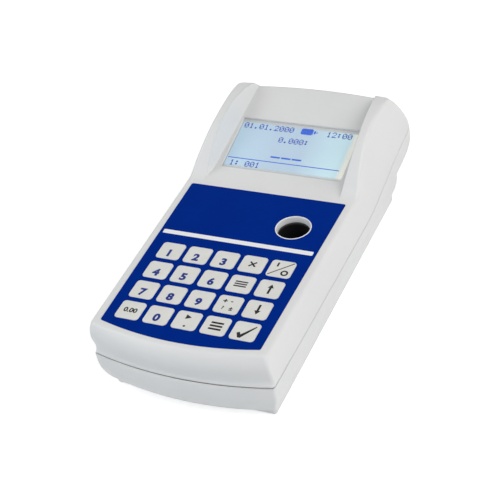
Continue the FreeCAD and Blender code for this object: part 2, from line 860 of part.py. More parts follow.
def battery_door():
    door = box(-door_half, door_half, door_front, door_pin_y, foot_height, door_top)
    edge = rod_x(-door_half, door_half, door_pin_y, door_pin_z, door_thickness / 2)
    pin_end = door_half + pin_reach
    pins = rod_x(-pin_end, pin_end, door_pin_y, door_pin_z, pin_radius)
    door = door.fuse([edge, pins]).removeSplitter()
    groove = box(-grip_half, grip_half, door_front + 5.0, door_front + 5.0 + grip_pitch / 2, 0,
                 foot_height + 0.6)
    grip = [groove.translated(V(0, i * grip_pitch, 0)) for i in range(grip_count)]
    return door.cut(Part.makeCompound(grip))


def cell_xs():
    pitch = 2 * cell_radius + cell_gap
    return [(i - (cell_count - 1) / 2) * pitch for i in range(cell_count)]


def battery_cells():
    """Round cells side by side, each turned end for end to its neighbour."""
    cells = []
    start = bay_front + contact_depth
    for i, x in enumerate(cell_xs()):
        forward = i % 2 == 0
        way = V(0, 1, 0) if forward else V(0, -1, 0)
        foot = V(x, start if forward else start + cell_length, cell_z)
        length = cell_length - terminal_height
        can = Part.makeCylinder(cell_radius, length, foot, way)
        tip = Part.makeCylinder(terminal_radius, terminal_height, foot + way * length, way)
        cells.append(can.fuse(tip).removeSplitter())
    return Part.makeCompound(cells)


def contact_leaves():
    """Bent leaf contacts at both ends of every cell."""
    t = contact_thickness
    reach = contact_depth
    half = contact_half
    profile = [(0, -half), (t, -half), (t, half - 3.5 * t), (reach - t, 1.5 * t), (reach - t, -4 * t),
               (reach, -4 * t), (reach, 2 * t), (t, half), (0, half)]
    front = [(bay_front + y, cell_z + z) for y, z in profile]
    rear = [(bay_rear - y, cell_z + z) for y, z in profile]
    leaves = [prism_x(side, half / 2).translated(V(x, 0, 0)) for x in cell_xs() for side in (front, rear)]
    return Part.makeCompound(leaves)


def main_board():
    board = box(-main_half, main_half, main_front, main_rear, board_height, board_face)
    holes = [rod(x, y, board_height - past, board_face + past, board_screw_radius + thread_gap)
             for x, y in board_posts]
    return board.cut(Part.makeCompound(holes))


def board_parts():
    """Chips, sockets, capacitors and crystal; places run from the board's front or rear edge."""
    blocks = [(0, main_front + 22.0, 14, 14, 1.6), (18, main_front + 14.5, 8, 5, 1.3),
              (18, main_front + 21.5, 8, 5, 1.3), (-21, main_front + 20.5, 10, 5, 1.5),
              (-15, main_front + 3.5, 18, 5, 5.5), (11, main_front + 3.5, 18, 5, 5.5),
              (-9, main_rear - 12.4, 10, 4, 3.2)]
    cans = [(-20, main_rear - 17.4, 3.2, 7), (22, main_rear - 16.4, 3.2, 7), (22, main_rear - 7.4, 2.5, 5)]
    pieces = [box(x - w / 2, x + w / 2, y - d / 2, y + d / 2, board_face, board_face + h)
              for x, y, w, d, h in blocks]
    pieces += [rod(x, y, board_face, board_face + h, r) for x, y, r, h in cans]
    return Part.makeCompound(pieces)


def buzzer():
    x = 6.0
    y = main_rear - buzzer_radius - 0.9
    top = board_face + 6.5
    can = rod(x, y, board_face, top, buzzer_radius)
    return can.cut(rod(x, y, top - 1.5, top + past, 1.2))


def board_screws():
    screws = []
    for x, y in board_posts:
        shank = rod(x, y, floor_top + 1.5, board_face, board_screw_radius)
        head = rod(x, y, board_face, board_face + 1.4, board_screw_radius * 2)
        screws.append(shank.fuse(head).removeSplitter())
    return Part.makeCompound(screws)


def socket_box(inset, front, rear):
    half = socket_width / 2 - inset
    return box(socket_x - half, socket_x + half, front, rear, board_face + inset,
               board_face + socket_height - inset)


def usb_socket():
    front = socket_rear - socket_length
    shell = socket_box(0, front, socket_rear)
    mouth = socket_box(socket_wall, front + 1.5, socket_rear + past)
    tongue = socket_box(1.5, front + 1.0, socket_rear - 1.2)
    return shell.cut(mouth).fuse(tongue).removeSplitter()


def port_cover():
    front = cover_back + cover_seat
    face = front + cover_thickness
    plate = box(socket_x - cover_half, socket_x + cover_half, front, face, cover_low, cover_pin_z)
    edge = rod_x(socket_x - cover_half, socket_x + cover_half, cover_pin_y, cover_pin_z,
                 cover_thickness / 2)
    pin_end = cover_half + cover_pin_reach
    pins = rod_x(socket_x - pin_end, socket_x + pin_end, cover_pin_y, cover_pin_z, cover_pin_radius)
    tab = box(socket_x - 2.5, socket_x + 2.5, face - slack, face + 0.9, cover_low, cover_low + 1.2)
    return plate.fuse([edge, pins, tab]).removeSplitter()


def housing_screws():
    """Cross-slotted screws that go up through the lower shell's bosses into the upper shell's posts."""
    screws = []
    low = head_seat - screw_head_height
    for x, y in screw_places:
        head = rod(x, y, low, head_seat, screw_head_radius)
        shank = rod(x, y, head_seat, post_bottom(y) + thread_depth, screw_radius)
        screw = head.fuse(shank).removeSplitter()
        for half_x, half_y in ((1.7, 0.4), (0.4, 1.7)):
            screw = screw.cut(box(x - half_x, x + half_x, y - half_y, y + half_y, low - slack, low + 0.9))
        screws.append(screw)
    return Part.makeCompound(screws)


def rubber_feet():
    feet = []
    for x, y in foot_places:
        foot = rod(x, y, 0, foot_height + foot_inset, foot_radius)
        feet.append(foot.makeFillet(0.4, edges_at(foot, 0)))
    return Part.makeCompound(feet)


upper_raw, lower_raw = housing()
one_key = key()
parts = {
    "upper_shell": upper_shell(upper_raw),
    "lower_shell": lower_shell(lower_raw),
    "shell_gasket": shell_gasket(),
    "keypad_foil": keypad_foil(),
    "keypad_board": keypad_board(),
    "snap_domes": snap_domes(),
    "keypad_screws": keypad_screws(),
    "display_window": display_window(),
    "lcd_panel": lcd_panel(),
    "lcd_frame": lcd_frame(),
    "lcd_board": lcd_board(),
    "lcd_screws": lcd_screws(),
    "optics_plate": optics_plate(),
    "lamp_holder": lamp_holder(),
    "lamp": lamp(),
    "filter_wheel": filter_wheel(),
    "optical_filters": optical_filters(),
    "wheel_shaft": wheel_shaft(),
    "filter_motor": filter_motor(),
    "cuvette_holder": cuvette_holder(),
    "well_seal": well_seal(),
    "collimator_lens": collimator_lens(),
    "photodiode": photodiode(),
    "detector_board": detector_board(),
    "battery_door": battery_door(),
    "battery_cells": battery_cells(),
    "contact_leaves": contact_leaves(),
    "main_board": main_board(),
    "board_parts": board_parts(),
    "buzzer": buzzer(),
    "board_screws": board_screws(),
    "usb_socket": usb_socket(),
    "port_cover": port_cover(),
    "housing_screws": housing_screws(),
    "rubber_feet": rubber_feet(),
}
for name, place in key_spots:
    parts[name] = one_key.translated(place)
for name, shape in parts.items():
    shape.exportStep("parts/" + name + ".step")
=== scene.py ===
import math
import bpy
import bmesh
from mathutils import Matrix, Vector


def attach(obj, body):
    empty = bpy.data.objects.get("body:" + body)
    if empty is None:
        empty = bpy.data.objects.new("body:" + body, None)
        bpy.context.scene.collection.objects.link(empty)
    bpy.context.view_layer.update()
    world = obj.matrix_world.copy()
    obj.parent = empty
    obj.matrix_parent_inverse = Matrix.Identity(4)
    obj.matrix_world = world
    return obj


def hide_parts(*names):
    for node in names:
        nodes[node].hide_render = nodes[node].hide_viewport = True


mm = 0.001
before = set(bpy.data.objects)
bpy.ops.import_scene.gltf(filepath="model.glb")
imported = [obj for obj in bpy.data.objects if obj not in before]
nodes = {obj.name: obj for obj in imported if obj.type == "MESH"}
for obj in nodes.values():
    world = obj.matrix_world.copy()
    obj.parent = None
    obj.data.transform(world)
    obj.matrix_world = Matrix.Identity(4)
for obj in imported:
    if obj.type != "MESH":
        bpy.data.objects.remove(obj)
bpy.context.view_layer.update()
scene = bpy.context.scene
scene.view_settings.view_transform = "Standard"
print("frame loaded with", len(nodes), "nodes")


# camera at the photograph's angle
benchCamera = {
    "place": (0.24842, -0.46515, 0.43930),
    "turn": (51.107, 7.693, 22.666),
    "lens": 91.76, "sensor": 36.0, "near": 0.01, "far": 60.0,
}


def addCamera(setup):
    data = bpy.data.cameras.new("benchCamera")
    data.lens = setup["lens"]
    data.sensor_width = setup["sensor"]
    data.clip_start = setup["near"]
    data.clip_end = setup["far"]
    camera = bpy.data.objects.new("benchCamera", data)
    camera.location = setup["place"]
    camera.rotation_euler = [math.radians(a) for a in setup["turn"]]
    scene.collection.objects.link(camera)
    scene.camera = camera


addCamera(benchCamera)


# soft boxes round the bench; turn runs from +X towards +Y and rise is above the bench, in degrees
lampLook = {"distance": 1.5, "size": 1.0, "aimHeight": 0.03}
lampSet = {
    "rightHigh": {"turn": -30, "rise": 45, "watts": 8.3, "tint": (1.08, 0.98, 0.95)},
    "rightLow": {"turn": -10, "rise": 10, "watts": 3.4, "tint": (1.10, 1.0, 0.90)},
    "rightRear": {"turn": 30, "rise": 35, "watts": 6.6, "tint": (0.95, 1.03, 1.02)},
    "leftHigh": {"turn": 180, "rise": 45, "watts": 4.5, "tint": (1.04, 1.0, 0.96)},
    "leftFront": {"turn": -140, "rise": 30, "watts": 8.3, "tint": (0.94, 1.01, 1.05)},
    "frontLow": {"turn": -50, "rise": 6, "watts": 3.1, "tint": (0.72, 1.02, 1.26)},
}


def addLamp(name, setup, look):
    data = bpy.data.lights.new(name, "AREA")
    data.shape = "SQUARE"
    data.size = look["size"]
    data.energy = setup["watts"]
    data.color = setup["tint"]
    turn, rise = math.radians(setup["turn"]), math.radians(setup["rise"])
    away = Vector((math.cos(rise) * math.cos(turn), math.cos(rise) * math.sin(turn), math.sin(rise)))
    lamp = bpy.data.objects.new(name, data)
    lamp.location = away * look["distance"] + Vector((0.0, 0.0, look["aimHeight"]))
    lamp.rotation_euler = (-away).to_track_quat("-Z", "Y").to_euler()
    scene.collection.objects.link(lamp)


for lampName, lampSetup in lampSet.items():
    addLamp(lampName, lampSetup, lampLook)


# pale room: an even sky, plain white wherever it is seen directly
room = {"skyLight": 0.15, "floorTone": (0.70, 0.70, 0.70, 1.0), "floorGlow": 0.60, "floorSize": 3.2}


def seenDirectly(tree):
    paths = tree.nodes.new("ShaderNodeLightPath")
    either = tree.nodes.new("ShaderNodeMath")
    either.operation = "MAXIMUM"
    tree.links.new(paths.outputs["Is Camera Ray"], either.inputs[0])
    tree.links.new(paths.outputs["Is Transmission Ray"], either.inputs[1])
    glossy = tree.nodes.new("ShaderNodeMath")
    glossy.operation = "MAXIMUM"
    tree.links.new(either.outputs[0], glossy.inputs[0])
    tree.links.new(paths.outputs["Is Glossy Ray"], glossy.inputs[1])
    return glossy.outputs[0]


def buildSky(setup):
    world = bpy.data.worlds.new("paleRoom")
    world.use_nodes = True
    tree = world.node_tree
    tree.nodes.clear()
    light = tree.nodes.new("ShaderNodeBackground")
    light.inputs["Strength"].default_value = setup["skyLight"]
    white = tree.nodes.new("ShaderNodeBackground")
    white.inputs["Strength"].default_value = 1.0
    for shade in (light, white):
        shade.inputs["Color"].default_value = (1.0, 1.0, 1.0, 1.0)
    mix = tree.nodes.new("ShaderNodeMixShader")
    out = tree.nodes.new("ShaderNodeOutputWorld")
    tree.links.new(seenDirectly(tree), mix.inputs[0])
    tree.links.new(light.outputs[0], mix.inputs[1])
    tree.links.new(white.outputs[0], mix.inputs[2])
    tree.links.new(mix.outputs[0], out.inputs[0])
    scene.world = world


def buildFloor(setup):
    bm = bmesh.new()
    bmesh.ops.create_grid(bm, x_segments=4, y_segments=4, size=setup["floorSize"] / 2)
    mesh = bpy.data.meshes.new("benchTop")
    bm.to_mesh(mesh)
    bm.free()
    floor = bpy.data.objects.new("benchTop", mesh)
    scene.collection.objects.link(floor)
    material = bpy.data.materials.new("benchTopWhite")
    material.use_nodes = True
    tree = material.node_tree
    tree.nodes.clear()
    matt = tree.nodes.new("ShaderNodeBsdfDiffuse")
    matt.inputs["Color"].default_value = setup["floorTone"]
    glow = tree.nodes.new("ShaderNodeEmission")
    glow.inputs["Color"].default_value = (1.0, 1.0, 1.0, 1.0)
    gain = tree.nodes.new("ShaderNodeMath")
    gain.operation = "MULTIPLY"
    gain.inputs[1].default_value = setup["floorGlow"]
    tree.links.new(seenDirectly(tree), gain.inputs[0])
    tree.links.new(gain.outputs[0], glow.inputs["Strength"])
    both = tree.nodes.new("ShaderNodeAddShader")
    out = tree.nodes.new("ShaderNodeOutputMaterial")
    tree.links.new(matt.outputs[0], both.inputs[0])
    tree.links.new(glow.outputs[0], both.inputs[1])
    tree.links.new(both.outputs[0], out.inputs[0])
    mesh.materials.append(material)


buildSky(room)
buildFloor(room)
print("room, lamps and camera set")


# shader effects that several finishes share
def newGroup(name, inputs, outputs):
    group = bpy.data.node_groups.new(name, "ShaderNodeTree")
    for label, kind, value in inputs:
        socket = group.interface.new_socket(label, in_out="INPUT", socket_type=kind)
        socket.default_value = value
    for label, kind in outputs:
        group.interface.new_socket(label, in_out="OUTPUT", socket_type=kind)
    return group, group.nodes.new("NodeGroupInput"), group.nodes.new("NodeGroupOutput")


def noiseNode(tree, place, detail, rough=0.55):
    noise = tree.nodes.new("ShaderNodeTexNoise")
    noise.inputs["Detail"].default_value = detail
    noise.inputs["Roughness"].default_value = rough
    tree.links.new(place, noise.inputs["Vector"])
    return noise


def mapRange(tree, source, fromLow, fromHigh, toLow, toHigh):
    node = tree.nodes.new("ShaderNodeMapRange")
    for slot, value in zip(("From Min", "From Max", "To Min", "To Max"), (fromLow, fromHigh, toLow, toHigh)):
        if isinstance(value, bpy.types.NodeSocket):
            tree.links.new(value, node.inputs[slot])
        else:
            node.inputs[slot].default_value = value
    tree.links.new(source, node.inputs["Value"])
    return node.outputs["Result"]


def mathNode(tree, operation, a, b=0.0, clamp=False):
    node = tree.nodes.new("ShaderNodeMath")
    node.operation = operation
    node.use_clamp = clamp
    for slot, value in zip((0, 1), (a, b)):
        if isinstance(value, bpy.types.NodeSocket):
            tree.links.new(value, node.inputs[slot])
        else:
            node.inputs[slot].default_value = value
    return node.outputs[0]


def mixColour(tree, share, first, second):
    node = tree.nodes.new("ShaderNodeMix")
    node.data_type = "RGBA"
    sockets = [s for s in node.inputs if s.enabled]
    for socket, value in zip(sockets, (share, first, second)):
        if isinstance(value, bpy.types.NodeSocket):
            tree.links.new(value, socket)
        else:
            socket.default_value = value
    return [s for s in node.outputs if s.enabled][0]


def mouldedSkinGroup():
    group, start, end = newGroup("mouldedSkin", [
        ("Tone", "NodeSocketColor", (0.8, 0.8, 0.8, 1.0)),
        ("Drift", "NodeSocketColor", (0.75, 0.75, 0.75, 1.0)),
        ("Patches", "NodeSocketFloat", 30.0),
        ("Grain", "NodeSocketFloat", 2200.0),
        ("Gloss", "NodeSocketFloat", 0.5),
    ], [("Color", "NodeSocketColor"), ("Roughness", "NodeSocketFloat"), ("Height", "NodeSocketFloat")])
    place = group.nodes.new("ShaderNodeTexCoord").outputs["Object"]
    patch = noiseNode(group, place, 3.0)
    group.links.new(start.outputs["Patches"], patch.inputs["Scale"])
    share = mapRange(group, patch.outputs["Fac"], 0.35, 0.65, 0.0, 1.0)
    colour = mixColour(group, share, start.outputs["Tone"], start.outputs["Drift"])
    grain = noiseNode(group, place, 2.0, 0.6)
    group.links.new(start.outputs["Grain"], grain.inputs["Scale"])
    fleck = mapRange(group, grain.outputs["Fac"], 0.3, 0.7, -0.05, 0.05)
    rough = mathNode(group, "ADD", start.outputs["Gloss"], fleck, True)
    group.links.new(colour, end.inputs["Color"])
    group.links.new(rough, end.inputs["Roughness"])
    group.links.new(grain.outputs["Fac"], end.inputs["Height"])
    return group


def brushedMetalGroup():
    group, start, end = newGroup("turnedMetal", [
        ("Tone", "NodeSocketColor", (0.6, 0.6, 0.6, 1.0)),
        ("Dark", "NodeSocketColor", (0.45, 0.45, 0.45, 1.0)),
        ("Lines", "NodeSocketFloat", 900.0),
        ("Gloss", "NodeSocketFloat", 0.3),
    ], [("Color", "NodeSocketColor"), ("Roughness", "NodeSocketFloat"), ("Height", "NodeSocketFloat")])
    place = group.nodes.new("ShaderNodeTexCoord").outputs["Object"]
    stretch = group.nodes.new("ShaderNodeMapping")
    stretch.inputs["Scale"].default_value = (1.0, 0.08, 1.0)
    group.links.new(place, stretch.inputs["Vector"])
    lines = noiseNode(group, stretch.outputs["Vector"], 4.0, 0.7)
    group.links.new(start.outputs["Lines"], lines.inputs["Scale"])
    share = mapRange(group, lines.outputs["Fac"], 0.3, 0.7, 0.0, 1.0)
    colour = mixColour(group, share, start.outputs["Tone"], start.outputs["Dark"])
    group.links.new(colour, end.inputs["Color"])
    group.links.new(mathNode(group, "ADD", start.outputs["Gloss"], mapRange(
        group, lines.outputs["Fac"], 0.3, 0.7, -0.06, 0.08), True), end.inputs["Roughness"])
    group.links.new(lines.outputs["Fac"], end.inputs["Height"])
    return group


def boardTracksGroup():
    group, start, end = newGroup("boardTracks", [
        ("Mask", "NodeSocketColor", (0.02, 0.16, 0.07, 1.0)),
        ("Track", "NodeSocketColor", (0.05, 0.26, 0.12, 1.0)),
        ("Pitch", "NodeSocketFloat", 260.0),
    ], [("Color", "NodeSocketColor"), ("Roughness", "NodeSocketFloat"), ("Height", "NodeSocketFloat")])
    place = group.nodes.new("ShaderNodeTexCoord").outputs["Object"]
    cells = group.nodes.new("ShaderNodeTexVoronoi")
    cells.distance = "CHEBYCHEV"
    cells.feature = "DISTANCE_TO_EDGE"
    group.links.new(place, cells.inputs["Vector"])
    group.links.new(start.outputs["Pitch"], cells.inputs["Scale"])
    edge = mapRange(group, cells.outputs["Distance"], 0.04, 0.08, 1.0, 0.0)
    colour = mixColour(group, edge, start.outputs["Mask"], start.outputs["Track"])
    group.links.new(colour, end.inputs["Color"])
    group.links.new(mapRange(group, edge, 0.0, 1.0, 0.38, 0.28), end.inputs["Roughness"])
    group.links.new(edge, end.inputs["Height"])
    return group


skinGroup = mouldedSkinGroup()
metalGroup = brushedMetalGroup()
boardGroup = boardTracksGroup()


def startMaterial(name):
    material = bpy.data.materials.new(name)
    material.use_nodes = True
    tree = material.node_tree
    shader = next(n for n in tree.nodes if n.type == "BSDF_PRINCIPLED")
    return material, tree, shader


def useEffect(tree, shader, group, values, depth, soften=0.0):
    effect = tree.nodes.new("ShaderNodeGroup")
    effect.node_tree = group
    for label, value in values.items():
        effect.inputs[label].default_value = value
    tree.links.new(effect.outputs["Color"], shader.inputs["Base Color"])
    tree.links.new(effect.outputs["Roughness"], shader.inputs["Roughness"])
    bump = tree.nodes.new("ShaderNodeBump")
    bump.inputs["Strength"].default_value = 0.35
    bump.inputs["Distance"].default_value = depth
    tree.links.new(effect.outputs["Height"], bump.inputs["Height"])
    if soften:
        edge = tree.nodes.new("ShaderNodeBevel")
        edge.samples = 6
        edge.inputs["Radius"].default_value = soften
        tree.links.new(edge.outputs["Normal"], bump.inputs["Normal"])
    tree.links.new(bump.outputs["Normal"], shader.inputs["Normal"])
    return effect


def skinFinish(name, base, drift, gloss, patches=28.0, grain=2200.0, depth=0.00004, soften=0.0, coat=0.0,
               mirror=0.5):
    material, tree, shader = startMaterial(name)
    values = {"Tone": base + (1.0,), "Drift": drift + (1.0,), "Patches": patches, "Grain": grain,
              "Gloss": gloss}
    useEffect(tree, shader, skinGroup, values, depth, soften)
    shader.inputs["Coat Weight"].default_value = coat
    shader.inputs["Specular IOR Level"].default_value = mirror
    return material


def metalFinish(name, base, dark, gloss):
    material, tree, shader = startMaterial(name)
    values = {"Tone": base + (1.0,), "Dark": dark + (1.0,), "Gloss": gloss}
    useEffect(tree, shader, metalGroup, values, 0.00002)
    shader.inputs["Metallic"].default_value = 1.0
    return material


def boardFinish(name, mask, track):
    material, tree, shader = startMaterial(name)
    useEffect(tree, shader, boardGroup, {"Mask": mask + (1.0,), "Track": track + (1.0,)}, 0.00003)
    return material


finishes = {
    "housingGrey": skinFinish("housingGrey", (0.735, 0.742, 0.742), (0.715, 0.724, 0.727), 0.42,
                              soften=0.0009),
    "foilBlue": skinFinish("foilBlue", (0.0, 0.0235, 0.250), (0.0, 0.021, 0.234), 0.33, patches=40.0,
                           grain=3500.0, depth=0.00001, mirror=0.01),
    "foilWhite": skinFinish("foilWhite", (0.86, 0.87, 0.88), (0.83, 0.84, 0.85), 0.35, grain=3500.0,
                            depth=0.00001),
    "keyIvory": skinFinish("keyIvory", (0.735, 0.735, 0.71), (0.70, 0.70, 0.675), 0.38, patches=120.0,
                           grain=3200.0, depth=0.00002),
    "inkBlue": skinFinish("inkBlue", (0.012, 0.030, 0.21), (0.018, 0.040, 0.24), 0.4, patches=900.0,
                          mirror=0.15),
    "inkBlack": skinFinish("inkBlack", (0.012, 0.012, 0.014), (0.022, 0.022, 0.024), 0.4, patches=900.0,
                           mirror=0.15),
    "softBlack": skinFinish("softBlack", (0.006, 0.006, 0.007), (0.010, 0.010, 0.010), 0.7, grain=1500.0,
                            mirror=0.12),
    "rubberGrey": skinFinish("rubberGrey", (0.035, 0.035, 0.037), (0.05, 0.05, 0.052), 0.8, grain=1200.0,
                             depth=0.00008),
    "chipBlack": skinFinish("chipBlack", (0.02, 0.02, 0.022), (0.03, 0.03, 0.03), 0.5, patches=400.0),
    "cellJacket": skinFinish("cellJacket", (0.03, 0.03, 0.035), (0.05, 0.05, 0.055), 0.25, coat=0.4),
    "filterGlass": skinFinish("filterGlass", (0.10, 0.30, 0.42), (0.14, 0.38, 0.36), 0.08, patches=160.0,
                              depth=0.000005),
    "screwSteel": metalFinish("screwSteel", (0.62, 0.62, 0.63), (0.45, 0.45, 0.46), 0.28),
    "contactNickel": metalFinish("contactNickel", (0.72, 0.70, 0.66), (0.55, 0.53, 0.5), 0.25),
    "boardGreen": boardFinish("boardGreen", (0.012, 0.12, 0.05), (0.03, 0.2, 0.09)),
}
print("finishes made:", len(finishes))

nodeFinish = {
    "housingGrey": ["upper_shell", "lower_shell", "battery_door", "port_cover"],
    "foilBlue": ["keypad_foil"],
    "softBlack": ["cuvette_holder", "filter_wheel", "optics_plate", "lamp_holder", "lcd_frame", "buzzer"],
    "rubberGrey": ["rubber_feet", "well_seal", "shell_gasket"],
    "chipBlack": ["board_parts", "photodiode"],
    "cellJacket": ["battery_cells"],
    "filterGlass": ["optical_filters", "collimator_lens", "lamp"],
    "screwSteel": ["housing_screws", "keypad_screws", "lcd_screws", "board_screws", "wheel_shaft",
                   "filter_motor", "usb_socket"],
    "contactNickel": ["contact_leaves", "snap_domes"],
    "boardGreen": ["keypad_board", "lcd_board", "main_board", "detector_board"],
}


def paintNode(name, material):
    mesh = nodes[name].data
    mesh.materials.clear()
    mesh.materials.append(material)


for finishName, nodeNames in nodeFinish.items():
    for nodeName in nodeNames:
        paintNode(nodeName, finishes[finishName])
print("nodes painted")


# helpers for new pieces
def finishPiece(name, bm, material, body, smooth=0.0, stands=()):
    mesh = bpy.data.meshes.new(name)
    bm.to_mesh(mesh)
    bm.free()
    return addPiece(name, mesh, material, body, smooth, stands)


def addPiece(name, mesh, material, body, smooth=0.0, stands=()):
    piece = bpy.data.objects.new(name, mesh)
    scene.collection.objects.link(piece)
    mesh.materials.clear()
    mesh.materials.append(material)
    # the carried corner normals go, so that the merged mesh is shaded by its own angles
    if "custom_normal" in mesh.attributes:
        mesh.attributes.remove(mesh.attributes["custom_normal"])
    if smooth:
        mesh.shade_smooth()
        mesh.set_sharp_from_angle(angle=math.radians(smooth))
    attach(piece, body)
    if stands:
        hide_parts(*stands)
    return piece


# smooth housing: the shells' own triangles, merged and shaded by angle
shellLook = {"merge": 0.000002, "sharp": 32.0}


def smoothShell(node, pieceName, material):
    bm = bmesh.new()
    bm.from_mesh(nodes[node].data)
    bmesh.ops.remove_doubles(bm, verts=bm.verts, dist=shellLook["merge"])
    return finishPiece(pieceName, bm, material, "housing", shellLook["sharp"], [node])


smoothShell("upper_shell", "upperShellSkin", finishes["housingGrey"])
smoothShell("lower_shell", "lowerShellSkin", finishes["housingGrey"])
print("shells smoothed")


# keys: a cap with rounded corners and softened rim over its hidden flange
keyLook = {
    "columns": (-30.0, -15.0, 0.0, 15.0, 30.0),
    "rows": (-40.7, -55.9, -71.1, -86.3),
    "width": 12.7, "depth": 12.2, "low": 41.15, "top": 45.25, "corner": 1.9,
    "rim": 0.22, "dish": 0.05, "dishInset": 1.0,
    "flangeOver": 0.9, "flangeLow": 41.55, "flangeTop": 42.35,
}
keyNames = (
    ("key_1", "key_2", "key_3", "key_escape", "key_power"),
    ("key_4", "key_5", "key_6", "key_memory", "key_up"),
    ("key_7", "key_8", "key_9", "key_extend", "key_down"),
    ("key_zero", "key_0", "key_program", "key_menu", "key_enter"),
)
keyCentre = {name: (keyLook["columns"][c], keyLook["rows"][r])
             for r, row in enumerate(keyNames) for c, name in enumerate(row)}


def softBevel(bm, edges, offset, segments):
    bmesh.ops.bevel(bm, geom=edges, offset=offset, offset_type="OFFSET", segments=segments, profile=0.5,
                    affect="EDGES", material=-1)


def uprightEdges(bm):
    return [e for e in bm.edges if abs((e.verts[0].co - e.verts[1].co).normalized().z) > 0.99]


def rimEdges(bm, height):
    return [e for e in bm.edges if all(abs(v.co.z - height) < 1e-6 for v in e.verts)
            and len(e.link_faces) == 2 and any(abs(f.normal.z) < 0.5 for f in e.link_faces)]


def roundedBlock(width, depth, low, high, corner, segments=6, rim=0.0):
    bm = bmesh.new()
    bmesh.ops.create_cube(bm, size=1.0)
    bmesh.ops.scale(bm, vec=(width, depth, high - low), verts=bm.verts)
    bmesh.ops.translate(bm, vec=(0.0, 0.0, (high + low) / 2), verts=bm.verts)
    softBevel(bm, uprightEdges(bm), corner, segments)
    if rim:
        bm.normal_update()
        softBevel(bm, rimEdges(bm, high), rim, 3)
    return bm


def toMetres(bm, place=(0.0, 0.0)):
    bmesh.ops.translate(bm, vec=(place[0], place[1], 0.0), verts=bm.verts)
    bmesh.ops.scale(bm, vec=(mm, mm, mm), verts=bm.verts)
    bmesh.ops.recalc_face_normals(bm, faces=bm.faces)
    return bm


def joinInto(bm, other):
    mesh = bpy.data.meshes.new("joined")
    other.to_mesh(mesh)
    other.free()
    bm.from_mesh(mesh)
    bpy.data.meshes.remove(mesh)
    return bm


def keyBody(look):
    cap = roundedBlock(look["width"], look["depth"], look["low"], look["top"], look["corner"], 7, look["rim"])
    cap.normal_update()
    roof = [f for f in cap.faces if f.normal.z > 0.99 and f.calc_area() > 40.0]
    bmesh.ops.inset_region(cap, faces=roof, thickness=look["dishInset"], depth=-look["dish"])
    over = 2 * look["flangeOver"]
    flange = roundedBlock(look["width"] + over, look["depth"] + over, look["flangeLow"], look["flangeTop"],
                          look["corner"])
    return joinInto(cap, flange)


for name, centre in keyCentre.items():
    finishPiece(name.replace("key", "cap"), toMetres(keyBody(keyLook), centre), finishes["keyIvory"],
                name, 35.0, [name])
print("keys made:", len(keyCentre))


# printed marks
inkLook = {"thickness": 0.03, "digitHeight": 5.3, "digitBold": 0.05, "digitPlace": (-0.2, -1.7)}


def inkOutline(outline, low, thickness, place):
    bm = bmesh.new()
    corners = [bm.verts.new((x + place[0], y + place[1], low)) for x, y in outline]
    face = bm.faces.new(corners)
    grown = bmesh.ops.extrude_face_region(bm, geom=[face])
    lifted = [g for g in grown["geom"] if isinstance(g, bmesh.types.BMVert)]
    bmesh.ops.translate(bm, vec=(0.0, 0.0, thickness), verts=lifted)
    return bm


def inkBar(length, width, angle, low, thickness, place):
    bm = bmesh.new()
    bmesh.ops.create_cube(bm, size=1.0)
    bmesh.ops.scale(bm, vec=(length, width, thickness), verts=bm.verts)
    softBevel(bm, uprightEdges(bm), min(length, width) * 0.18, 2)
    bmesh.ops.rotate(bm, cent=(0, 0, 0), matrix=Matrix.Rotation(math.radians(angle), 3, "Z"), verts=bm.verts)
    bmesh.ops.translate(bm, vec=(place[0], place[1], low + thickness / 2), verts=bm.verts)
    return bm


def inkDisc(radius, low, thickness, place, hole=0.0):
    bm = bmesh.new()
    if hole:
        bmesh.ops.create_circle(bm, segments=28, radius=radius)
        bmesh.ops.create_circle(bm, segments=28, radius=hole)
        bmesh.ops.bridge_loops(bm, edges=bm.edges)
    else:
        bmesh.ops.create_circle(bm, segments=24, radius=radius, cap_ends=True)
    grown = bmesh.ops.extrude_face_region(bm, geom=bm.faces[:])
    lifted = [g for g in grown["geom"] if isinstance(g, bmesh.types.BMVert)]
    bmesh.ops.translate(bm, vec=(0.0, 0.0, thickness), verts=lifted)
    bmesh.ops.translate(bm, vec=(place[0], place[1], low), verts=bm.verts)
    return bm


def inkNumerals(text, height, bold, low, thickness, place):
    curve = bpy.data.curves.new("numerals", "FONT")
    curve.body = text
    curve.size = 1.0
    curve.offset = bold
    curve.extrude = 0.01
    curve.resolution_u = 4
    curve.align_x = "CENTER"
    writer = bpy.data.objects.new("numerals", curve)
    scene.collection.objects.link(writer)
    reader = writer.evaluated_get(bpy.context.evaluated_depsgraph_get())
    mesh = bpy.data.meshes.new_from_object(reader)
    bpy.data.objects.remove(writer)
    bpy.data.curves.remove(curve)
    bm = bmesh.new()
    bm.from_mesh(mesh)
    bpy.data.meshes.remove(mesh)
    bmesh.ops.remove_doubles(bm, verts=bm.verts, dist=1e-5)
    foot, head = (min(v.co.y for v in bm.verts), max(v.co.y for v in bm.verts))
    left, right = (min(v.co.x for v in bm.verts), max(v.co.x for v in bm.verts))
    grow = height / (head - foot)
    bmesh.ops.translate(bm, vec=(-(left + right) / 2, -(foot + head) / 2, 0.01), verts=bm.verts)
    bmesh.ops.scale(bm, vec=(grow, grow, thickness / 0.02), verts=bm.verts)
    bmesh.ops.translate(bm, vec=(place[0], place[1], low), verts=bm.verts)
    return bm


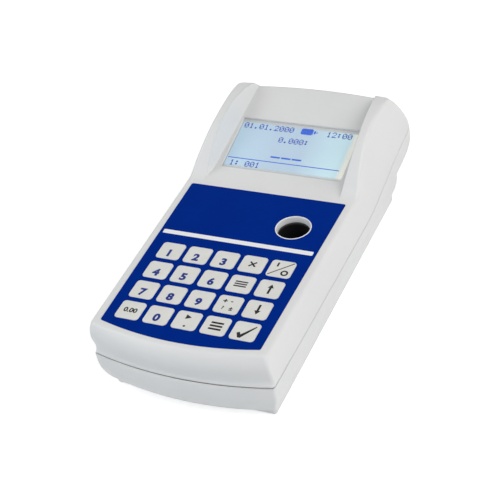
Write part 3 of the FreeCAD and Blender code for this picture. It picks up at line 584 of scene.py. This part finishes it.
arrowUp = ((-0.56, -3.3), (0.56, -3.3), (0.56, 0.9), (1.55, 0.9), (0.0, 3.5), (-1.55, 0.9), (-0.56, 0.9))
tick = ((-3.5, -1.8), (-2.2, -0.95), (-1.25, -2.55), (4.3, 4.1), (4.8, 3.7), (-0.75, -4.8), (-2.05, -4.8))
playMark = ((-1.3, 0.7), (1.6, 2.3), (-1.3, 3.9))
floorOfInk = keyLook["top"] - keyLook["dish"]
inkDepth = inkLook["thickness"]
keyInk = {
    "key_escape": [("bar", 4.8, 0.9, 45.0, (0.0, 0.0)), ("bar", 4.8, 0.9, -45.0, (0.0, 0.0))],
    "key_power": [("bar", 15.2, 0.55, 43.8, (0.0, 0.0)), ("bar", 0.95, 3.0, 0.0, (-2.5, 2.8)),
                  ("disc", 1.95, (2.7, -2.8), 1.05)],
    "key_memory": [("bar", 6.6, 0.85, 0.0, (0.0, 1.6)), ("bar", 6.6, 0.85, 0.0, (0.0, 0.0)),
                   ("bar", 6.6, 0.85, 0.0, (0.0, -1.6))],
    "key_up": [("outline", arrowUp, (0.3, -0.2))],
    "key_extend": [("text", "+", 2.3, 0.03, (-2.4, 2.2)), ("text", "-", 0.6, 0.03, (1.0, 2.2)),
                   ("text", "?", 2.4, 0.03, (-1.9, -2.6)), ("text", "\u00b1", 2.3, 0.025, (2.3, -2.7))],
    "key_down": [("outline", tuple((x, -y) for x, y in reversed(arrowUp)), (0.3, 0.2))],
    "key_zero": [("text", "0.00", 3.2, 0.035, (0.0, 0.0))],
    "key_program": [("disc", 0.6, (0.3, -3.9), 0.0), ("outline", playMark, (0.0, 0.0))],
    "key_menu": [("bar", 6.4, 1.15, 0.0, (0.3, 1.9)), ("bar", 6.4, 1.15, 0.0, (0.3, -0.2)),
                 ("bar", 6.4, 1.15, 0.0, (0.3, -2.3))],
    "key_enter": [("outline", tick, (0.0, 0.0))],
}


def shapeOfInk(mark, low, depth):
    kind = mark[0]
    if kind == "bar":
        return inkBar(mark[1], mark[2], mark[3], low, depth, mark[4])
    if kind == "disc":
        return inkDisc(mark[1], low, depth, mark[2], mark[3])
    if kind == "text":
        return inkNumerals(mark[1], mark[2], mark[3], low, depth, mark[4])
    return inkOutline(mark[1], low, depth, mark[2])


for name, centre in keyCentre.items():
    digit = name[-1]
    if digit.isdigit():
        ink = inkNumerals(digit, inkLook["digitHeight"], inkLook["digitBold"], floorOfInk, inkDepth,
                          inkLook["digitPlace"])
        finishPiece("numeral_" + digit, toMetres(ink, centre), finishes["inkBlue"], name)
        continue
    ink = bmesh.new()
    for order, mark in enumerate(keyInk[name]):
        joinInto(ink, shapeOfInk(mark, floorOfInk, inkDepth + 0.004 * order))
    finishPiece(name.replace("key", "mark"), toMetres(ink, centre), finishes["inkBlack"], name)
print("key marks printed")


# white line printed across the foil
foilLine = {"half": 41.2, "middle": -26.2, "height": 3.0, "low": 45.0, "thickness": 0.02}
line = inkBar(2 * foilLine["half"], foilLine["height"], 0.0, foilLine["low"], foilLine["thickness"],
              (0.0, foilLine["middle"]))
finishPiece("foilLine", toMetres(line), finishes["foilWhite"], "housing")
print("foil line printed")


# pale bead round the mouth of the well
wellBead = {"place": (24.1, -8.9), "inner": 8.78, "outer": 9.36, "low": 44.95, "rise": 0.28, "segments": 96}


def beadRing(look):
    bm = bmesh.new()
    middle, half = (look["inner"] + look["outer"]) / 2, (look["outer"] - look["inner"]) / 2
    steps = [math.radians(30 * n) for n in range(12)]
    outline = [(middle + half * math.cos(a), look["low"] + look["rise"] * math.sin(a)) for a in steps]
    loop = [bm.verts.new((r, 0.0, z)) for r, z in outline]
    edges = [bm.edges.new((loop[n - 1], loop[n])) for n in range(len(loop))]
    bmesh.ops.spin(bm, geom=loop + edges, cent=(0, 0, 0), axis=(0, 0, 1), angle=math.tau,
                   steps=look["segments"], use_merge=True)
    bmesh.ops.remove_doubles(bm, verts=bm.verts, dist=1e-5)
    return bm


bead = toMetres(beadRing(wellBead), wellBead["place"])
finishPiece("wellBead", bead, finishes["foilWhite"], "housing", 40.0)
print("well bead made")


# display: clear pane over a panel with square dots; the panel's glow is painted light
display = {
    "pivot": (0.0, 31.5, 45.0), "tilt": 12.1,
    "half": 34.5, "start": 1.6, "end": 38.5, "paneTop": -0.4, "paneLow": -1.0, "paneCorner": 0.5,
    "faceTop": -1.2, "faceLow": -1.55,
    "dotX": 0.5, "dotY": 0.56, "dotDepth": 0.03, "letterDots": 6,
}
panelPlace = (Matrix.Translation([c * mm for c in display["pivot"]])
              @ Matrix.Rotation(math.radians(display["tilt"]), 4, "X"))


def onPanel(bm):
    bmesh.ops.scale(bm, vec=(mm, mm, mm), verts=bm.verts)
    bmesh.ops.recalc_face_normals(bm, faces=bm.faces)
    bmesh.ops.transform(bm, matrix=panelPlace, verts=bm.verts)
    return bm


def panelSlab(look, low, high, corner, rim):
    bm = roundedBlock(2 * look["half"], look["end"] - look["start"], low, high, corner, 4, rim)
    bmesh.ops.translate(bm, vec=(0.0, (look["start"] + look["end"]) / 2, 0.0), verts=bm.verts)
    return bm


def panelCoordinates(tree):
    place = tree.nodes.new("ShaderNodeTexCoord").outputs["Object"]
    turn = tree.nodes.new("ShaderNodeMapping")
    turn.vector_type = "TEXTURE"
    turn.inputs["Location"].default_value = [c * mm for c in display["pivot"]]
    turn.inputs["Rotation"].default_value = (math.radians(display["tilt"]), 0.0, 0.0)
    tree.links.new(place, turn.inputs["Vector"])
    apart = tree.nodes.new("ShaderNodeSeparateXYZ")
    tree.links.new(turn.outputs["Vector"], apart.inputs["Vector"])
    return apart.outputs["X"], apart.outputs["Y"]


screenLook = {
    # the first blue, at the screen's left end, is lighter than the blue: painted light that offsets the left
    # cheek's shade
    "edgeBluePaintedLight": (0.450, 0.612, 0.740), "blue": (0.405, 0.530, 0.645), "aqua": (0.540, 0.735, 0.800),
    "cream": (0.815, 0.820, 0.745), "topBand": (0.460, 0.475, 0.480), "lowBand": (0.440, 0.455, 0.450),
    # line: the screen's dark border, its own edge with painted shade of the recess round the pane laid on it
    "line": (0.36, 0.36, 0.36),
}
# where each colour of the screen starts and where it is full, in metres on the panel
screenBands = {
    "blue": (-0.032, -0.010), "aqua": (0.006, 0.028), "cream": (0.0297, 0.0325), "topBand": (0.0358, 0.0370),
    "lowBand": (0.0048, 0.0026), "sideLine": (0.0341, 0.0343), "lowLine": (0.00195, 0.00175),
    "topLine": (0.0381, 0.0383),
}
screenDrift = 0.0005
# painted glow: the screen emits its own colour a little, painted light that lifts the ends the cheeks shade
screenPaintedGlow = 0.30


def screenFinish(look, bands):
    material, tree, shader = startMaterial("glowPaintedScreen")

    def passed(place, band):
        start, full = bands[band]
        return mapRange(tree, place, start, full, 0.0, 1.0)

    x, y = panelCoordinates(tree)
    colours = {name: value + (1.0,) for name, value in look.items()}
    place = tree.nodes.new("ShaderNodeTexCoord").outputs["Object"]
    cloud = noiseNode(tree, place, 2.0)
    cloud.inputs["Scale"].default_value = 60.0
    wander = mapRange(tree, cloud.outputs["Fac"], 0.3, 0.7, -screenDrift, screenDrift)
    across = mathNode(tree, "ADD", x, wander)
    # the screen starts from the lightened left-end blue, which is painted light
    tint = colours["edgeBluePaintedLight"]
    for name in ("blue", "aqua", "cream"):
        tint = mixColour(tree, passed(across, name), tint, colours[name])
    upward = mathNode(tree, "ADD", y, mathNode(tree, "MULTIPLY", wander, 0.4))
    for name in ("topBand", "lowBand"):
        tint = mixColour(tree, passed(upward, name), tint, colours[name])
    side = mathNode(tree, "ABSOLUTE", x)
    # the border line is partly the screen's edge and partly painted shade of the recess round the pane
    edge = passed(side, "sideLine")
    for name in ("lowLine", "topLine"):
        edge = mathNode(tree, "MAXIMUM", edge, passed(y, name))
    tint = mixColour(tree, edge, tint, colours["line"])
    tree.links.new(tint, shader.inputs["Base Color"])
    # the emitted colour is painted light, not a backlight
    tree.links.new(tint, shader.inputs["Emission Color"])
    shader.inputs["Emission Strength"].default_value = screenPaintedGlow
    grain = noiseNode(tree, place, 1.0)
    grain.inputs["Scale"].default_value = 1800.0
    tree.links.new(mapRange(tree, grain.outputs["Fac"], 0.3, 0.7, 0.42, 0.52), shader.inputs["Roughness"])
    shader.inputs["Specular IOR Level"].default_value = 0.2
    return material


def paneFinish():
    material, tree, shader = startMaterial("clearPane")
    effect = tree.nodes.new("ShaderNodeGroup")
    effect.node_tree = skinGroup
    for label, value in {"Tone": (0.75, 0.78, 0.80, 1.0), "Drift": (0.70, 0.74, 0.76, 1.0), "Patches": 50.0,
                         "Grain": 1500.0, "Gloss": 0.12}.items():
        effect.inputs[label].default_value = value
    tree.links.new(effect.outputs["Color"], shader.inputs["Base Color"])
    tree.links.new(effect.outputs["Roughness"], shader.inputs["Roughness"])
    shader.inputs["Alpha"].default_value = 0.05
    shader.inputs["Specular IOR Level"].default_value = 0.3
    return material


finishes["glowPaintedScreen"] = screenFinish(screenLook, screenBands)
finishes["clearPane"] = paneFinish()
finishes["screenInk"] = skinFinish("screenInk", (0.0, 0.035, 0.50), (0.002, 0.05, 0.56), 0.5, patches=700.0,
                                   mirror=0.1)
finishes["screenMark"] = skinFinish("screenMark", (0.004, 0.11, 0.74), (0.01, 0.135, 0.80), 0.5,
                                    patches=700.0, mirror=0.1)

pane = onPanel(panelSlab(display, display["paneLow"], display["paneTop"], display["paneCorner"], 0.12))
finishPiece("displayPane", pane, finishes["clearPane"], "housing", 35.0, ["display_window"])
face = onPanel(panelSlab(display, display["faceLow"], display["faceTop"], 0.3, 0.05))
finishPiece("displayFace", face, finishes["glowPaintedScreen"], "housing", 35.0)
paintNode("lcd_panel", finishes["glowPaintedScreen"])

dotShapes = {
    "0": ("01110", "10001", "10011", "10101", "11001", "10001", "01110"),
    "1": ("00100", "01100", "00100", "00100", "00100", "00100", "01110"),
    "2": ("01110", "10001", "00001", "00010", "00100", "01000", "11111"),
    "3": ("11111", "00010", "00100", "00010", "00001", "10001", "01110"),
    "4": ("00010", "00110", "01010", "10010", "11111", "00010", "00010"),
    "5": ("11111", "10000", "11110", "00001", "00001", "10001", "01110"),
    "6": ("00110", "01000", "10000", "11110", "10001", "10001", "01110"),
    "7": ("11111", "00001", "00010", "00100", "01000", "01000", "01000"),
    "8": ("01110", "10001", "10001", "01110", "10001", "10001", "01110"),
    "9": ("01110", "10001", "10001", "01111", "00001", "00010", "01100"),
    ".": ("00000", "00000", "00000", "00000", "00000", "01100", "01100"),
    ":": ("00000", "01100", "01100", "00000", "01100", "01100", "00000"),
    " ": ("00000",) * 7,
}
# each text with its left edge and its top, in millimetres on the panel
screenLines = [
    ("01.01.2000", -32.9, 36.0), ("12:00", 16.0, 36.0), ("0.000:", -9.6, 28.0), ("1: 001", -31.3, 8.0),
]
screenMarks = {
    "battery": (0.9, 36.4), "dashStarts": (-9.8, -3.6, 2.6), "dashTop": 13.7, "dashDots": 11,
    "rule": (-33.6, 9.75), "ruleDots": 129,
}


def addDots(bm, cells, left, top):
    wide, high = display["dotX"], display["dotY"]
    level = display["faceTop"] + display["dotDepth"]
    for column, row in cells:
        made = bmesh.ops.create_grid(bm, x_segments=1, y_segments=1, size=0.5)["verts"]
        bmesh.ops.scale(bm, vec=(wide, high, 1.0), verts=made)
        place = (left + (column + 0.5) * wide, top - (row + 0.5) * high, level)
        bmesh.ops.translate(bm, vec=place, verts=made)


def buildReadout():
    bm = bmesh.new()
    for text, left, top in screenLines:
        for order, letter in enumerate(text):
            rows = dotShapes[letter]
            first = display["letterDots"] * order
            cells = [(first + c, r) for r, row in enumerate(rows) for c, bit in enumerate(row) if bit == "1"]
            addDots(bm, cells, left, top)
    return bm


def buildMarks(look):
    bm = bmesh.new()
    battery = [(c, r) for r in range(8) for c in range(14) if not (r in (0, 7) and c in (0, 13))]
    battery += [(c, r) for r in (2, 3, 4, 5) for c in (15, 16, 18) if not (c == 18 and r in (2, 5))]
    addDots(bm, battery, *look["battery"])
    for start in look["dashStarts"]:
        addDots(bm, [(c, r) for r in (0, 1) for c in range(look["dashDots"])], start, look["dashTop"])
    addDots(bm, [(c, 0) for c in range(look["ruleDots"])], *look["rule"])
    return bm


finishPiece("screenReadout", onPanel(buildReadout()), finishes["screenInk"], "housing")
finishPiece("screenMarks", onPanel(buildMarks(screenMarks)), finishes["screenMark"], "housing")
print("display made")
